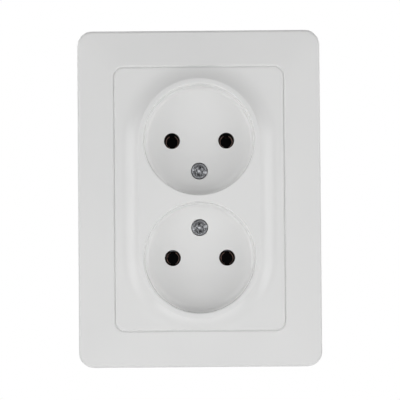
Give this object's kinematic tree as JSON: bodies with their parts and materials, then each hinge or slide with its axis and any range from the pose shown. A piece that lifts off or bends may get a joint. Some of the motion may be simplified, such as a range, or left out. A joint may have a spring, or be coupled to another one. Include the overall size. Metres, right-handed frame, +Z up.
{
  "type": "double wall socket",
  "caption": "Flush-mounted double wall socket with round wells, split pin sleeves, cage terminals and spreading claws for a round wall box.",
  "frame": {"origin": "midway between the two box screws, on the wall plane", "axes": "+X right, +Y into the wall, +Z up, seen from the room"},
  "size_m": [0.0848, 0.0452, 0.1174],
  "materials": {
    "cover_plastic": "smooth satin moulding",
    "base_plastic": "fine sparked moulding",
    "strap_steel": "galvanised sheet",
    "screw_zinc": "zinc plated",
    "contact_brass": "rolled strip",
    "spring_steel": "spring steel"
  },
  "bodies": {
    "housing": {"claw_pin_left": "screw_zinc", "claw_pin_right": "screw_zinc", "contact_bar_left": "contact_brass", "contact_bar_right": "contact_brass", "contact_base": "base_plastic", "contact_cover": "base_plastic", "cover_screw_inserts": "contact_brass", "cover_screws": "screw_zinc", "mounting_strap": "strap_steel", "outer_frame": "cover_plastic", "sleeve_spring_lower_left": "spring_steel", "sleeve_spring_lower_right": "spring_steel", "sleeve_spring_upper_left": "spring_steel", "sleeve_spring_upper_right": "spring_steel", "socket_cover": "cover_plastic", "strap_screws": "screw_zinc"},
    "claw_left": {"claw_left": "strap_steel"},
    "claw_nut_left": {"claw_nut_left": "screw_zinc"},
    "claw_screw_left": {"claw_screw_left": "screw_zinc"},
    "terminal_cage_upper_left": {"terminal_cage_upper_left": "screw_zinc"},
    "terminal_screw_upper_left": {"terminal_screw_upper_left": "screw_zinc"},
    "terminal_cage_lower_left": {"terminal_cage_lower_left": "screw_zinc"},
    "terminal_screw_lower_left": {"terminal_screw_lower_left": "screw_zinc"},
    "claw_right": {"claw_right": "strap_steel"},
    "claw_nut_right": {"claw_nut_right": "screw_zinc"},
    "claw_screw_right": {"claw_screw_right": "screw_zinc"},
    "terminal_cage_upper_right": {"terminal_cage_upper_right": "screw_zinc"},
    "terminal_screw_upper_right": {"terminal_screw_upper_right": "screw_zinc"},
    "terminal_cage_lower_right": {"terminal_cage_lower_right": "screw_zinc"},
    "terminal_screw_lower_right": {"terminal_screw_lower_right": "screw_zinc"}
  },
  "joints": [
    {"name": "claw_screw_left_turn", "type": "hinge", "parent": "housing", "child": "claw_screw_left", "pos_m": [-0.02253, 0, 0], "axis": [0, 1, 0], "range_deg": [0, 1741.83]},
    {"name": "claw_left_swing", "type": "hinge", "parent": "housing", "child": "claw_left", "pos_m": [-0.0176, 0.006, 0], "axis": [0, 0, 1], "range_deg": [0, 28]},
    {"name": "claw_nut_left_slide", "type": "slide", "parent": "housing", "child": "claw_nut_left", "axis": [0, -1, 0], "range_m": [0, 0.00242]},
    {"name": "terminal_screw_upper_left_turn", "type": "hinge", "parent": "housing", "child": "terminal_screw_upper_left", "pos_m": [0, 0.022, 0.0112], "axis": [1, 0, 0], "range_deg": [0, 1320]},
    {"name": "terminal_cage_upper_left_slide", "type": "slide", "parent": "housing", "child": "terminal_cage_upper_left", "axis": [-1, 0, 0], "range_m": [0, 0.0022]},
    {"name": "terminal_screw_lower_left_turn", "type": "hinge", "parent": "housing", "child": "terminal_screw_lower_left", "pos_m": [0, 0.022, -0.0112], "axis": [1, 0, 0], "range_deg": [0, 1320]},
    {"name": "terminal_cage_lower_left_slide", "type": "slide", "parent": "housing", "child": "terminal_cage_lower_left", "axis": [-1, 0, 0], "range_m": [0, 0.0022]},
    {"name": "claw_screw_right_turn", "type": "hinge", "parent": "housing", "child": "claw_screw_right", "pos_m": [0.02253, 0, 0], "axis": [0, 1, 0], "range_deg": [0, 1741.83]},
    {"name": "claw_right_swing", "type": "hinge", "parent": "housing", "child": "claw_right", "pos_m": [0.0176, 0.006, 0], "axis": [0, 0, -1], "range_deg": [0, 28]},
    {"name": "claw_nut_right_slide", "type": "slide", "parent": "housing", "child": "claw_nut_right", "axis": [0, -1, 0], "range_m": [0, 0.00242]},
    {"name": "terminal_screw_upper_right_turn", "type": "hinge", "parent": "housing", "child": "terminal_screw_upper_right", "pos_m": [0, 0.022, 0.0112], "axis": [-1, 0, 0], "range_deg": [0, 1320]},
    {"name": "terminal_cage_upper_right_slide", "type": "slide", "parent": "housing", "child": "terminal_cage_upper_right", "axis": [1, 0, 0], "range_m": [0, 0.0022]},
    {"name": "terminal_screw_lower_right_turn", "type": "hinge", "parent": "housing", "child": "terminal_screw_lower_right", "pos_m": [0, 0.022, -0.0112], "axis": [-1, 0, 0], "range_deg": [0, 1320]},
    {"name": "terminal_cage_lower_right_slide", "type": "slide", "parent": "housing", "child": "terminal_cage_lower_right", "axis": [1, 0, 0], "range_m": [0, 0.0022]}
  ],
  "couplings": [
    {"joint": "claw_left_swing", "follows": "claw_nut_left_slide", "rad_per_m": 202},
    {"joint": "claw_screw_left_turn", "follows": "claw_nut_left_slide", "rad_per_m": 12566},
    {"joint": "terminal_screw_upper_left_turn", "follows": "terminal_cage_upper_left_slide", "rad_per_m": 10472},
    {"joint": "terminal_screw_lower_left_turn", "follows": "terminal_cage_lower_left_slide", "rad_per_m": 10472},
    {"joint": "claw_right_swing", "follows": "claw_nut_right_slide", "rad_per_m": 202},
    {"joint": "claw_screw_right_turn", "follows": "claw_nut_right_slide", "rad_per_m": 12566},
    {"joint": "terminal_screw_upper_right_turn", "follows": "terminal_cage_upper_right_slide", "rad_per_m": 10472},
    {"joint": "terminal_screw_lower_right_turn", "follows": "terminal_cage_lower_right_slide", "rad_per_m": 10472}
  ]
}
